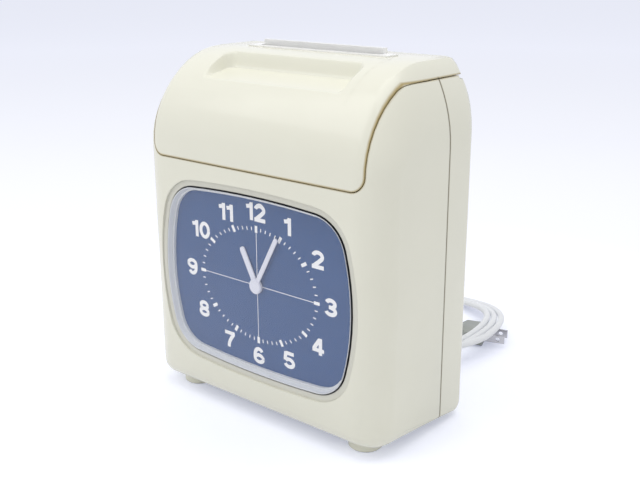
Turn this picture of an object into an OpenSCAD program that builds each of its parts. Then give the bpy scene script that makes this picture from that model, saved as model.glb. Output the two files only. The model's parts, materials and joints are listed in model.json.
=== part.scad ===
// Electronic time recorder: moulded case, clock face, hinged lid, card chute, feed and printer.
// Millimetres. x runs to the right, z up from the table, and y back from the front plane:
// stand() then moves the depth so that the part is centred on its origin.

/* [Case] */
// Width across the side walls
body_w = 200; // [196:1:212]
// Depth from the front plane to the rear wall
body_d = 98; // [97:1:106]
// Height of the lid's flat top
body_h = 237; // [235:1:245]
// Wall of the moulded shells
wall = 2.5; // [2.2:0.1:2.8]
// Radius of the upright front corners
front_round = 20; // [16:1:24]
// Radius of the brow, where the front turns into the top
brow_r = 60; // [56:1:62]
// Radius of the shoulders, seen from the front
shoulder_r = 88; // [80:1:96]
// Height of the lid's top above the start of the shoulders
shoulder_h = 51; // [47:1:55]
// Radius of the lid's top side edges
edge_r = 6; // [5:0.5:7]
// Radius of the rear edges
rear_round = 6; // [5:0.5:7]
// Radius of the lower edges
base_round = 10; // [8:0.5:11]
// Depth of the rear shell
rear_d = 28.4; // [27:0.1:29]
// Open line between the two shells
seam_gap = 0.3; // [0.2:0.1:0.6]
// Radius of a case screw's column
column_r = 4.5; // [4:0.1:5]
// Radius of a case screw's shank
case_screw_r = 1.5; // [1.2:0.1:1.8]
// Radius of the two wall-hanging holes
hang_r = 4; // [3.5:0.1:5]
// Distance between the wall-hanging holes
hang_pitch = 120; // [110:1:130]
// Height of the wall-hanging holes
hang_z = 176; // [170:1:184]

/* [Feet] */
// Height of the case's floor at its front edge
base_front_z = 8.2; // [7.4:0.2:9]
// Height of the case's floor at its rear edge
base_rear_z = 2.2; // [2:0.2:3.6]
// Radius of a foot
foot_r = 11; // [9:0.5:11.5]
// Distance between the feet, side to side
foot_pitch = 151; // [140:1:156]
// Depth of the front feet
foot_front_y = 22; // [22:0.5:25]
// Distance of the rear feet from the rear wall
foot_rear_in = 16; // [14:1:17]

/* [Lid] */
// Width of the front on each side of the lid's apron
lid_margin = 12.5; // [11.5:0.5:14.5]
// Height of the seam below the apron
lid_front_z = 169.5; // [168.5:0.5:171.5]
// Height of the lid's side edges
lid_edge_h = 10.5; // [9.5:0.5:11.5]
// Radius of the apron's lower corners
lid_corner = 9; // [6:0.5:11]
// Radius where the seam turns to the rear
lid_turn = 3; // [2.5:0.5:4]
// Open line round the lid
lid_gap = 0.5; // [0.4:0.1:0.8]
// Radius of the hinge barrel
barrel_r = 3; // [2.8:0.1:3.4]
// Radius of the hinge pins
pin_r = 1.2; // [1:0.1:1.5]
// Length of a case knuckle
knuckle_l = 12; // [10:0.5:14]
// Width of the finger recess
recess_w = 114; // [108:1:116]
// Depth at which the recess starts
recess_front_y = 18.5; // [17:0.5:21]
// Depth of the recess's rear wall
recess_back_y = 42; // [40:0.5:45]
// Depth of the recess below the lid's top at its rear wall
recess_h = 10; // [9:0.5:11]
// Radius of the recess's rear corners
recess_corner = 8; // [6:0.5:10]

/* [Card path] */
// Width that a card needs
card_w = 92; // [88:1:94]
// Depth of the card's plane
card_y = 68; // [67:0.5:69]
// Gap that the card runs in
card_gap = 5; // [4.6:0.1:5.4]
// Width of the slot in its guide
slot_w = 100; // [98:1:104]
// Wall of the slot guide's sleeve
sleeve = 1; // [0.8:0.1:1.2]
// Height of the lip behind the slot
lip_h = 4.5; // [3:0.5:6]
// Sheet of the chute
chute_t = 1.2; // [1:0.1:1.5]
// Height of the chute's floor
chute_z = 60; // [56:1:70]
// Height of the printed line above the feed rollers' axis
feed_below = 37.5; // [35.5:0.5:39.5]
// Radius of a feed roller
feed_r = 8; // [7.5:0.1:8.5]
// Radius of a pinch roller
pinch_r = 6; // [5.5:0.1:6.5]
// Width of a roller
roller_w = 12; // [10:0.5:14]
// Distance between the rollers
roller_pitch = 50; // [46:1:54]
// Radius of the feed shaft
feed_shaft_r = 2; // [1.8:0.1:2.4]
// Radius of the pinch shaft
pinch_shaft_r = 1.5; // [1.3:0.1:1.8]
// Module of the feed gears
feed_module = 0.8; // [0.7:0.05:0.9]

/* [Window and dial] */
// Width of the front on each side of the window
win_margin = 19.5; // [18.5:0.5:21.5]
// Height of the window
win_h = 120.6; // [117:0.5:122]
// Radius of the window's bowed sides
win_side_r = 150; // [140:5:200]
// Radius of the window's top and bottom
win_top_r = 700; // [600:50:900]
// Radius of the window's corners
win_corner_r = 26; // [22:1:28]
// Height of the dial's centre
dial_z = 94; // [92:0.5:96]
// Depth of the dial's face
dial_y = 6; // [5.8:0.1:6.6]
// Thickness of the dial
dial_t = 1; // [0.8:0.1:1.2]
// Thickness of the clear plate
lens_t = 2.5; // [2.2:0.1:2.7]
// Open line round the clear plate
lens_gap = 0.9; // [0.6:0.1:1.2]
// Width of the frame that shows inside the plate's edge
lip_w = 3; // [2.5:0.1:3.5]
// Width of the step round the window
step_w = 4; // [3:0.5:5]
// Depth of the step round the window
step_d = 1.4; // [1:0.1:1.5]

/* [Clock] */
// Length of the hour hand
hour_l = 27; // [24:1:30]
// Width of the hour hand
hour_w = 4.4; // [3.5:0.1:4.8]
// Length of the minute hand
minute_l = 40; // [34:1:44]
// Width of the minute hand
minute_w = 3.2; // [2.6:0.1:3.6]
// Radius of the hands' round hubs
hub_r = 5; // [4.2:0.1:5.4]
// Hour hand's turn from twelve at rest
hour_turn = -27; // [-180:1:180]
// Minute hand's turn from twelve at rest
minute_turn = 28; // [-180:1:180]
// Radius of the minute arbor
arbor_r = 1.35; // [1.2:0.05:1.5]
// Module of the motion work
motion_module = 0.6; // [0.55:0.05:0.65]
// Module of the minute wheel
wheel_module = 0.4; // [0.36:0.02:0.42]
// Distance between the movement's plates
plates_apart = 8.8; // [8.4:0.2:10]

/* [Printer] */
// Gap between the cassette and each of the frame's side plates
cassette_gap = 6; // [5:0.5:8]
// Sheet of the printer's frame
frame_t = 1.5; // [1.2:0.1:1.8]
// Depth of the printed line below the lid's top
print_below = 49.5; // [48:0.5:51]
// Radius of the guide rods
rod_r = 2.5; // [2.2:0.1:2.8]
// Radius of the lead screw
screw_r = 3; // [2.7:0.1:3.2]
// Width of the print carriage
carriage_w = 22; // [18:1:26]
// Width of the ribbon cassette
cassette_w = 120; // [116:1:124]

/* [Board and supply] */
// Gap between the main board and the transformer
board_gap = 8; // [7:1:15]
// Depth of the main board
board_d = 48; // [46:1:50]
// Height of the main board above the case's floor
board_lift = 5; // [4.5:0.5:8]

/* [Mains lead] */
// Diameter of the lead
cord_d = 5; // [4.6:0.1:5.2]

/* [Hidden] */
$fn = 48;
fit = 0.3;
running = 0.06;
half_w = body_w / 2;
shoulder_z = body_h - shoulder_h;
seam_y = body_d - rear_d;
foot_rear_y = body_d - foot_rear_in;
shoulder_x = half_w - shoulder_r;
edge_z = body_h - edge_r;
edge_x = shoulder_x + sqrt(pow(shoulder_r - edge_r, 2) - pow(edge_z - shoulder_z, 2));
brow_z = body_h - brow_r;
base_fade = 0.35;
outer_steps = 10;
inner_steps = 6;
lid_w = body_w - 2 * lid_margin;
lid_side_z = body_h - lid_edge_h;
hinge_y = body_d - barrel_r;
hinge_z = lid_side_z;
knuckle_x = 66;
pin_hold = 14;
recess_skin = wall;
recess_lean = 4;
recess_back_z = body_h - recess_h;
recess_front_z = brow_z + brow_r * sqrt(1 - pow(1 - recess_front_y / brow_r, 2));
stem_r = 1.8;
screw_hole_r = case_screw_r + 0.1;
column_l = 18;
column_places = [[half_w - 10, 22], [half_w - 11, shoulder_z + 10]];
screw_sink = body_d - 20;
rib = [-0.8, 0.8];
rib_x = 0.8 * (half_w - wall);
rib_z = 45;
rib_step = 24;
bush_r = 6;
cord_x = 60;
cord_z = 20;

// Window outline and the depths of the layers behind it
win_w = body_w - 2 * win_margin;
side_c = [win_w / 2 - win_side_r, 0];
top_c = [0, win_h / 2 - win_top_r];
corner_c = meeting(side_c, win_side_r - win_corner_r, top_c, win_top_r - win_corner_r);
lens_back = wall + fit;
lens_front = lens_back - lens_t;
rim_back = lens_back + 1.2;
dial_back = dial_y + dial_t;
rim_w = 1.6;
ear = [win_w / 2 - 1.5, win_h / 2 - 8.3];
ear_r = 5;
boss_r = ear_r - 0.8;
dial_screw_r = 1.2;

// Clock movement
hand_t = 0.6;
hour_hand_y = dial_y - 1.3;
minute_hand_y = hour_hand_y - 1;
pipe_r = 2.2;
plate_y = dial_back + 7;
plate_t = 1.2;
rear_plate_y = plate_y + plate_t + plates_apart;
plate_w = 62;
plate_h = 52;
pillar = [26, 21];
pillar_r = 3;
cannon_teeth = 10;
motion_teeth = 30;
motion_pinion_teeth = 8;
hour_teeth = 32;
minute_teeth = 64;
motor_teeth = 8;
motion_angle = 210;
motion_reach = motion_module * (cannon_teeth + motion_teeth) / 2;
motion_at = motion_reach * [cos(motion_angle), sin(motion_angle)];
motor_angle = 20;
motor_reach = wheel_module * (minute_teeth + motor_teeth) / 2;
motor_at = motor_reach * [cos(motor_angle), sin(motor_angle)];
stud_r = 1.5;
motor_shaft_r = 0.8;
hour_wheel_y = dial_back + 1;
cannon_y = plate_y - 3;

// Card path and printer
chute_front_y = card_y - card_gap / 2;
chute_rear_y = card_y + card_gap / 2;
nip = 0.15;
feed_y = card_y - nip - feed_r;
pinch_y = card_y + nip + pinch_r;
print_z = body_h - print_below;
feed_z = print_z - feed_below;
frame_x = cassette_w / 2 + cassette_gap;
frame_y = 14;
frame_end_y = chute_front_y - chute_t;
frame_low = print_z - 65.5;
feed_teeth = 36;
pinion_teeth = 12;
feed_reach = feed_module * (feed_teeth + pinion_teeth) / 2;
pinion_at = [feed_y, feed_z] - feed_reach * [sin(45), cos(45)];
gear_t = 4;
gear_x = frame_x + frame_t + 1;
screw_at = [frame_y + 24, print_z - 5.5];
rod_apart = 16;
rods = [for (s = [-1, 1]) screw_at + [s * rod_apart / 2, -10]];
carriage_y = span(screw_at[0], [-13, 14]);
carriage_motor_r = 10;
motor_room = 8;
post_y = frame_y + 6;
post_z = [frame_low + 8, print_z - 11.5];
post_r = 4;
window_h = 15;
chute_top = body_h - 9;
cassette_z = print_z + 9.5;
knob_at = [-40, 40];
sleeve_y = [chute_front_y - sleeve, chute_rear_y + sleeve];
sleeve_x = slot_w / 2 + sleeve;
at_rollers = [-roller_pitch / 2, roller_pitch / 2];
ear_x = roller_pitch / 2 * [1, 1] + roller_w / 2 * [1, 1] + [3, 6];
platen_w = card_w - 6;
feed_motor_r = 11;
feed_motor_shaft_r = 1.5;
tie_z = print_z - 27.5;
ribbon_y = frame_end_y - 1.5;

// Board and transformer
core_x = span(-half_w, [18, 64]);
board_side = 25;
board_x = [core_x[1] + board_gap, half_w - board_side];
board_y = span(14, [0, board_d]);
board_z = base_front_z + wall + board_lift;
board_t = 1.6;
board_corners = [for (x = board_x + [5, -5], y = board_y + [5, -5]) [x, y]];
board_post_r = 3.5;
core_y = [27, 47];
core_top = 46;
winding = 9;

// Mains lead: hand-chosen stations of the two free stretches, and the loops between them
cord_r = cord_d / 2;
floor_z = cord_r + 0.1;
relief_l = 28;
coil_at = [-25, 196];
coil_r = 84.5;
coil_pitch = 5.6;
coil_climb = 5.6;
coil_in = 2;
coil_out = 0.22;
hump_h = 14.3;
hump_at = 9;
hump_half = 50;
loop_rings = 24;
lead_route = [
    [60, 126, 20], [60, 133, 20], [60, 142, 19.4], [59.9, 151, 18.3], [59.8, 160, 17], [59.7, 168, 15.9],
    [59.6, 176, 15.2], [59.5, 184, 15], [59.5, 191, 15.3]
];
tail_route = [
    [-29.3, 120.9, 8.2], [-19.3, 120.2, 8.2], [-8.3, 123.8, 8.2], [-0.2, 132.2, 6.4], [3.5, 143.8, 4],
    [3.9, 155, 2.6], [4, 166, 2.6], [4.4, 176.5, 2.8], [6.2, 185.8, 3.8], [10.3, 193, 5.2],
    [16.6, 198, 6.4], [24, 200.8, 6.7], [29.5, 202.6, 6.7]
];
coil_turns = coil_in + 0.5 + coil_out;
loop_count = round(coil_turns * loop_rings);
loop_points = [for (i = [0:loop_count]) coil_point(i * coil_turns / loop_count)];
coil_heading = [-sin(360 * coil_turns), cos(360 * coil_turns), 0];
coil_end = coil_point(coil_turns) + cord_d * coil_heading;
coil_path = concat([lead_route[len(lead_route) - 1]], loop_points, [coil_end]);
plug_at = tail_route[len(tail_route) - 1];
plug_turn = 18;
plug_l = 24;
plug_w = 24;
plug_h = 13;
blade_gap = 12.7;
blade = [17, 1.5, 6.35];

// Placing helpers

module stand() translate([0, -body_d / 2, 0]) children();

module across(x0, x1) translate([x0, 0, 0]) rotate([90, 0, 90]) linear_extrude(x1 - x0) children();

module back(y0, y1) translate([0, y1, 0]) rotate([90, 0, 0]) linear_extrude(y1 - y0) children();

module rod_x(y, z, x0, x1, r) across(x0, x1) translate([y, z]) circle(r);

module rod_y(x, z, y0, y1, r) back(y0, y1) translate([x, z]) circle(r);

module rod_z(x, y, z0, z1, r) translate([x, y, z0]) cylinder(h = z1 - z0, r = r);

module block(x, y, z) translate([x[0], y[0], z[0]]) cube([x[1] - x[0], y[1] - y[0], z[1] - z[0]]);

module both_sides() {
    children();
    mirror([1, 0, 0]) children();
}

function span(c, ends) = [for (e = ends) c + e];

function arc(c, r, a0, a1, n) = [for (i = [0:n])
    let (a = a0 + (a1 - a0) * i / n)
    c + r * [cos(a), sin(a)]];

function mirrored(points) = [for (i = [len(points) - 1:-1:0]) [-points[i][0], points[i][1]]];

// Case form: side outlines, drawn in towards each side wall, joined along x

function floor_at(y) =
    base_front_z + (base_rear_z - base_front_z) * (y - base_round) / (body_d - rear_round - base_round);

function drop(x, w, r) = x <= w - r ? 0 : r - sqrt(max(0, r * r - pow(x - w + r, 2)));

function crown(x, t) =
    let (meet = shoulder_x + (shoulder_r - t) * (edge_x - shoulder_x) / (shoulder_r - edge_r))
    x <= edge_x ? body_h - t
    : x <= meet ? edge_z + sqrt(max(0, pow(edge_r - t, 2) - pow(x - edge_x, 2)))
    : shoulder_z + sqrt(max(0, pow(shoulder_r - t, 2) - pow(x - shoulder_x, 2)));

function outline(side, t) =
    let (
        x = abs(side),
        w = half_w - t,
        y0 = t + drop(x, w, front_round - t),
        y1 = body_d - t - drop(x, w, rear_round - t),
        lift = drop(x, w, base_round - t),
        rb = base_round - t,
        rr = rear_round - t,
        z0 = floor_at(y0 + rb) + t + lift,
        z1 = floor_at(y1 - rr) + t + lift * base_fade,
        top = crown(x, t),
        brow = [for (i = [0:12]) [
            brow_r - (brow_r - y0) * cos(7.5 * i),
            brow_z + (top - brow_z) * sin(7.5 * i)
        ]],
        flat = concat(
            arc([y0 + rb, z0 + rb], rb, 270, 180, 4),
            brow,
            arc([y1 - rr, top - rr], rr, 90, 0, 3),
            arc([y1 - rr, z1 + rr], rr, 0, -90, 3)
        )
    )
    [for (p = flat) [side, p[0], p[1]]];

function stations(t, n) =
    let (
        r = front_round - t,
        right = [for (i = [0:n]) half_w - t - r + r * sin(90 * i / n)]
    )
    concat([for (i = [n:-1:0]) -right[i]], right);

module joined(rings) {
    n = len(rings);
    k = len(rings[0]);
    sides = [for (i = [0:n - 2], j = [0:k - 1], h = [0, 1])
        let (a = i * k + j, b = i * k + (j + 1) % k)
        h == 0 ? [a, b, b + k] : [a, b + k, a + k]];
    ends = [[for (j = [k - 1:-1:0]) j], [for (j = [0:k - 1]) (n - 1) * k + j]];
    polyhedron([for (r = rings, p = r) p], concat(sides, ends), convexity = 6);
}

module case_form(t, n) joined([for (x = stations(t, n)) outline(x, t)]);

module moulding(y0, y1) {
    difference() {
        intersection() {
            case_form(0, outer_steps);
            block([-body_w, body_w], [y0, y1], [0, body_h + 1]);
        }
        case_form(wall, inner_steps);
    }
}

// Lid seam, seen from the front: apron with round lower corners that widens above the side seam
function seam(g) =
    let (
        a = lid_w / 2,
        right = concat(
            arc([a - lid_corner, lid_front_z + lid_corner], lid_corner + g, 270, 360, 6),
            arc([a + lid_turn, lid_side_z - lid_turn], lid_turn - g, 180, 90, 4),
            [[body_w, lid_side_z - g], [body_w, body_h + 10]]
        )
    )
    concat(right, mirrored(right));

module lid_space(g) {
    back(-1, brow_r) polygon(seam(g));
    block([-body_w, body_w], [brow_r - 1, body_d + 1], [lid_side_z - g, body_h + 10]);
}

// Window outline: bowed sides and nearly flat top and bottom, joined by tangent corners
function meeting(a, ra, b, rb) =
    let (
        d = norm(b - a),
        u = (b - a) / d,
        s = (ra * ra - rb * rb + d * d) / (2 * d)
    )
    a + s * u + sqrt(ra * ra - s * s) * [-u[1], u[0]];

function bearing(p) = atan2(p[1], p[0]);

function window(inset) =
    let (
        a = bearing(corner_c - side_c),
        b = bearing(corner_c - top_c),
        upper = concat(
            arc(side_c, win_side_r - inset, 0, a, 4),
            arc(corner_c, win_corner_r - inset, a, b, 8),
            arc(top_c, win_top_r - inset, b, 90, 4)
        ),
        clean = [for (i = [0:len(upper) - 1])
            if (i == 0 || norm(upper[i] - upper[i - 1]) > 0.01) upper[i]],
        left = [for (p = mirrored(clean)) if (p[0] < -0.01) p],
        half = concat(clean, left)
    )
    concat(half, [for (i = [len(half) - 2:-1:1]) [half[i][0], -half[i][1]]]);

module window_plate(y0, y1, inset) back(y0, y1) translate([0, dial_z]) polygon(window(inset));

module at_ears() for (sx = [-1, 1], sz = [-1, 1])
    translate([sx * ear[0], 0, dial_z + sz * ear[1]]) children();

// Involute gear wheel, with the first tooth at the turn given
function spread(r, base) = let (a = acos(min(1, base / r))) tan(a) * 180 / PI - a;

function tooth(n, m, r) =
    let (pitch = m * n / 2, base = pitch * cos(22))
    76 / n + spread(pitch, base) - spread(max(r, base), base);

function gear_outline(n, m) =
    let (
        pitch = m * n / 2,
        radii = [pitch - 1.15 * m, pitch - 0.45 * m, pitch, pitch + 0.45 * m, pitch + 0.82 * m],
        up = [for (r = radii) [r, -tooth(n, m, r)]],
        down = [for (i = [4:-1:0]) [radii[i], tooth(n, m, radii[i])]]
    )
    [for (i = [0:n - 1], p = concat(up, down))
        let (a = 360 * i / n + p[1])
        p[0] * [cos(a), sin(a)]];

module gear(n, m, turn) rotate(turn) polygon(gear_outline(n, m));

// Case pieces

module front_case() color("ivory") difference() {
    union() {
        difference() {
            moulding(-1, seam_y - seam_gap / 2);
            lid_space(lid_gap);
            window_plate(-1, wall + 1, 0);
            window_plate(-1, step_d, -step_w);
        }
        at_ears() rod_y(0, 0, wall / 2, rim_back, boss_r);
        both_sides() {
            for (z = post_z) rod_x(post_y, z, frame_x + frame_t, half_w - wall / 2, post_r);
            for (p = column_places) {
                rod_y(p[0], p[1], seam_y - column_l, seam_y - seam_gap / 2, column_r);
                block(
                    [p[0], half_w - wall / 2], [seam_y - column_l, seam_y - seam_gap / 2], span(p[1], rib)
                );
            }
        }
        for (p = board_corners) rod_z(p[0], p[1], floor_at(p[1]) + wall / 2, board_z, board_post_r);
    }
    at_ears() rod_y(0, 0, 1.4, rim_back + 1, dial_screw_r + 0.1);
    both_sides() {
        for (z = post_z) rod_x(post_y, z, frame_x, frame_x + 14, screw_hole_r);
        for (p = column_places) rod_y(p[0], p[1], seam_y - column_l + 1, seam_y, screw_hole_r);
        stem_hole(foot_front_y);
    }
    for (p = board_corners) rod_z(p[0], p[1], floor_at(p[1]) + wall + 0.5, board_z + 1, screw_hole_r);
}

module stem_hole(y) rod_z(foot_pitch / 2, y, 0, floor_at(y) + wall + 1, stem_r + 0.2);

module rear_case() color("ivory") {
    rear_shell();
    case_knuckles();
}

module rear_shell() difference() {
    union() {
        moulding(seam_y + seam_gap / 2, body_d + 1);
        both_sides() {
            for (p = column_places) {
                rod_y(p[0], p[1], seam_y + seam_gap / 2, body_d - wall / 2, column_r);
                block([p[0], half_w - wall - 0.5], [seam_y + 8, body_d - wall / 2], span(p[1], rib));
            }
        }
        for (z = [rib_z:rib_step:hang_z - 20])
            block([-1, 1] * rib_x, [body_d - wall - 1.5, body_d - wall / 2], span(z, rib));
    }
    lid_space(lid_gap);
    block([-1, 1] * (half_w - 9), [hinge_y - barrel_r - 0.4, body_d + 1],
        [hinge_z - barrel_r - 0.4, body_h]);
    both_sides() {
        for (p = column_places) {
            rod_y(p[0], p[1], seam_y, body_d, case_screw_r + 0.2);
            rod_y(p[0], p[1], screw_sink, body_d + 1, column_r - 1.2);
        }
        rod_y(hang_pitch / 2, hang_z, body_d - 10, body_d + 1, hang_r);
        stem_hole(foot_rear_y);
    }
    rod_y(cord_x, cord_z, body_d - 10, body_d + 1, bush_r + 0.1);
}

module case_knuckles() both_sides() {
    difference() {
        union() {
            rod_x(hinge_y, hinge_z, knuckle_x, knuckle_x + knuckle_l, barrel_r);
            block([knuckle_x, knuckle_x + knuckle_l], [hinge_y, body_d], span(hinge_z, [-12, 0]));
        }
        rod_x(hinge_y, hinge_z, knuckle_x - 1, knuckle_x + knuckle_l + 1, pin_r + running);
    }
}

module recess(grow) intersection() {
    across(-recess_w / 2 - grow, recess_w / 2 + grow) polygon([
        [recess_front_y - grow, recess_front_z - grow],
        [recess_back_y + grow, recess_back_z - grow],
        [recess_back_y + recess_lean + grow, body_h + 5],
        [recess_front_y - 12, body_h + 5],
        [recess_front_y - 12, recess_front_z - grow + 1]
    ]);
    translate([0, 0, body_h / 2]) linear_extrude(body_h) {
        x = recess_w / 2 - recess_corner;
        y = recess_back_y + recess_lean - recess_corner;
        r = recess_corner + grow;
        translate([-x - r, -body_d]) square([2 * (x + r), body_d + y]);
        translate([-x, -body_d]) square([2 * x, body_d + y + r]);
        for (s = [-1, 1]) translate([s * x, y]) circle(r);
    }
}

module top_cover() color("ivory") difference() {
    union() {
        difference() {
            intersection() {
                case_form(0, outer_steps);
                lid_space(0);
            }
            difference() {
                case_form(wall, inner_steps);
                recess(recess_skin);
            }
        }
        rod_x(hinge_y, hinge_z, -knuckle_x + 0.4, knuckle_x - 0.4, barrel_r);
    }
    recess(0);
    block([-1, 1] * (sleeve_x + fit), sleeve_y + [-fit, fit], [body_h - 20, body_h + 5]);
    both_sides() {
        rod_x(hinge_y, hinge_z, knuckle_x - 0.4, knuckle_x + knuckle_l + 0.4, barrel_r + 0.4);
        rod_x(hinge_y, hinge_z, knuckle_x - pin_hold, knuckle_x, pin_r + running);
    }
}

module card_slot_guide() color("whitesmoke") difference() {
    union() {
        block([-1, 1] * sleeve_x, sleeve_y, [body_h - wall - 3, body_h + 1]);
        block([-1, 1] * (sleeve_x + 7), sleeve_y + [-1.5, 2], [body_h, body_h + 1]);
        block([-1, 1] * slot_w / 2, [chute_rear_y, chute_rear_y + sleeve + 2], [body_h, body_h + lip_h]);
    }
    block([-1, 1] * slot_w / 2, [chute_front_y, chute_rear_y], [body_h - 10, body_h + 10]);
}

module hinge_pins() color("silver") both_sides()
    rod_x(hinge_y, hinge_z, knuckle_x - pin_hold + 1, knuckle_x + knuckle_l, pin_r);

module case_screws() color("silver") both_sides() for (p = column_places) {
    rod_y(p[0], p[1], seam_y - column_l + 4, screw_sink, case_screw_r);
    rod_y(p[0], p[1], screw_sink, screw_sink + 2, column_r - 1.6);
}

module feet() color("ivory") both_sides() for (y = [foot_front_y, foot_rear_y]) {
    difference() {
        translate([foot_pitch / 2, y, 0]) rotate_extrude() polygon([
            [0, 0], [foot_r - 1, 0], [foot_r, 1], [foot_r - 0.4, base_front_z + 2], [0, base_front_z + 2]
        ]);
        across(0, body_w) polygon([
            [0, floor_at(0)], [body_d, floor_at(body_d)], [body_d, body_h], [0, body_h]
        ]);
    }
    rod_z(foot_pitch / 2, y, floor_at(y) - 1, floor_at(y) + wall + 1.5, stem_r);
}

// Window, dial and hands

module lens() color("lightcyan", 0.4) {
    window_plate(lens_front, lens_back, lens_gap);
    difference() {
        window_plate(lens_back, rim_back, -rim_w);
        window_plate(lens_back - 1, rim_back + 1, 2);
    }
}

module dial_frame() color("gainsboro") difference() {
    union() {
        window_plate(rim_back, dial_y, -rim_w);
        at_ears() rod_y(0, 0, rim_back, dial_y, ear_r);
        for (sx = [-1, 1], sz = [-1, 1]) back(rim_back, dial_y) translate([0, dial_z])
            polygon([[sx * ear[0], sz * (ear[1] - 4)], [sx * (ear[0] - 4), sz * ear[1]],
                [sx * (ear[0] - 16), sz * (ear[1] - 8)], [sx * (ear[0] - 10), sz * (ear[1] - 16)]]);
    }
    window_plate(rim_back - 1, dial_y + 1, lens_gap + lip_w);
    at_ears() rod_y(0, 0, rim_back - 1, dial_y + 1, dial_screw_r + 0.1);
}

module dial() color("midnightblue") difference() {
    window_plate(dial_y, dial_back, -rim_w);
    rod_y(0, dial_z, dial_y - 1, dial_back + 1, pipe_r + 0.8);
}

module dial_screws() color("silver") at_ears() {
    rod_y(0, 0, 1.8, dial_y, dial_screw_r);
    rod_y(0, 0, dial_y, dial_y + 1.6, 2.4);
}

module hand(y, l, w, turn, bore) translate([0, 0, dial_z]) rotate([0, turn, 0]) back(y, y + hand_t)
    difference() {
        union() {
            circle(hub_r);
            translate([-w / 2, 0]) square([w, l - w / 2]);
            translate([0, l - w / 2]) circle(w / 2);
        }
        circle(bore);
    }

module hour_hand() color("white") hand(hour_hand_y, hour_l, hour_w, hour_turn, pipe_r + 0.03);

module minute_hand() color("white") hand(minute_hand_y, minute_l, minute_w, minute_turn, arbor_r + 0.03);

module hand_cap() color("white") rod_y(0, dial_z, minute_hand_y - 0.5, minute_hand_y, hub_r - 0.6);

// Clock movement

module plate_outline() difference() {
    square([plate_w, plate_h], center = true);
    for (sx = [-1, 1], sz = [-1, 1]) translate([sx * plate_w / 2, sz * plate_h / 2]) rotate(45)
        square(4, center = true);
}

module at_pillars() for (sx = [-1, 1], sz = [-1, 1])
    translate([sx * pillar[0], 0, dial_z + sz * pillar[1]]) children();

module movement_front_plate() color("goldenrod") {
    difference() {
        union() {
            back(plate_y, plate_y + plate_t) translate([0, dial_z]) plate_outline();
            at_pillars() rod_y(0, 0, dial_back, plate_y, pillar_r);
        }
        rod_y(0, dial_z, plate_y - 1, plate_y + 3, arbor_r + running);
    }
    rod_y(motion_at[0], dial_z + motion_at[1], hour_wheel_y - 0.4, plate_y + 0.1, stud_r);
}

module movement_rear_plate() color("goldenrod") difference() {
    back(rear_plate_y, rear_plate_y + plate_t) translate([0, dial_z]) plate_outline();
    rod_y(0, dial_z, rear_plate_y - 1, rear_plate_y + 3, arbor_r + running);
    rod_y(motor_at[0], dial_z + motor_at[1], rear_plate_y - 1, rear_plate_y + 3, motor_shaft_r + 0.4);
    at_pillars() rod_y(0, 0, rear_plate_y - 1, rear_plate_y + 3, dial_screw_r + 0.1);
}

module movement_pillars() color("goldenrod") at_pillars() difference() {
    rod_y(0, 0, plate_y + plate_t, rear_plate_y, pillar_r);
    rod_y(0, 0, rear_plate_y - 5, rear_plate_y + 1, dial_screw_r + 0.1);
}

module movement_screws() color("silver") at_pillars() {
    rod_y(0, 0, rear_plate_y - 4.5, rear_plate_y + plate_t, dial_screw_r);
    rod_y(0, 0, rear_plate_y + plate_t, rear_plate_y + plate_t + 1.4, 2.4);
}

module minute_arbor() color("silver") {
    rod_y(0, dial_z, minute_hand_y, rear_plate_y + plate_t + 1, arbor_r);
    back(cannon_y, cannon_y + 2.4) translate([0, dial_z])
        gear(cannon_teeth, motion_module, motion_angle);
}

module minute_wheel() color("gold") difference() {
    back(plate_y + 4, plate_y + 5.6) translate([0, dial_z])
        gear(minute_teeth, wheel_module, motor_angle + 180 / minute_teeth);
    rod_y(0, dial_z, plate_y, plate_y + 9, arbor_r + 0.03);
}

module motion_wheel() color("gold") difference() {
    translate([motion_at[0], 0, dial_z + motion_at[1]]) {
        back(cannon_y + 0.3, cannon_y + 2.1)
            gear(motion_teeth, motion_module, motion_angle + 180 + 180 / motion_teeth);
        back(hour_wheel_y - 0.1, cannon_y + 0.3)
            gear(motion_pinion_teeth, motion_module, motion_angle + 180);
    }
    rod_y(motion_at[0], dial_z + motion_at[1], dial_y, plate_y, stud_r + running);
}

module hour_wheel() color("gold") difference() {
    union() {
        back(hour_wheel_y, hour_wheel_y + 1.6) translate([0, dial_z])
            gear(hour_teeth, motion_module, motion_angle + 180 / hour_teeth);
        rod_y(0, dial_z, hour_hand_y, hour_wheel_y + 1.6, pipe_r);
    }
    rod_y(0, dial_z, 0, plate_y, arbor_r + running);
}

module stepper_motor() color("dimgray") difference() {
    union() {
        rod_y(motor_at[0], dial_z + motor_at[1], rear_plate_y + plate_t, rear_plate_y + plate_t + 13, 9);
        rod_y(motor_at[0], dial_z + motor_at[1], rear_plate_y + plate_t, rear_plate_y + plate_t + 2, 10);
    }
    rod_y(motor_at[0], dial_z + motor_at[1], rear_plate_y, rear_plate_y + plate_t + 4,
        motor_shaft_r + running);
}

module motor_pinion() color("silver") translate([motor_at[0], 0, dial_z + motor_at[1]]) {
    back(plate_y + 3.6, plate_y + 6) gear(motor_teeth, wheel_module, motor_angle + 180);
    rod_y(0, 0, plate_y + 3.2, rear_plate_y + plate_t + 3.6, motor_shaft_r);
}

// Card chute and feed

module roller_windows(y0, y1, r) for (x = at_rollers)
    block(span(x, [-1, 1] * (roller_w / 2 + 1)), [y0, y1], span(feed_z, [-1, 1] * (r + 1)));

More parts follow.
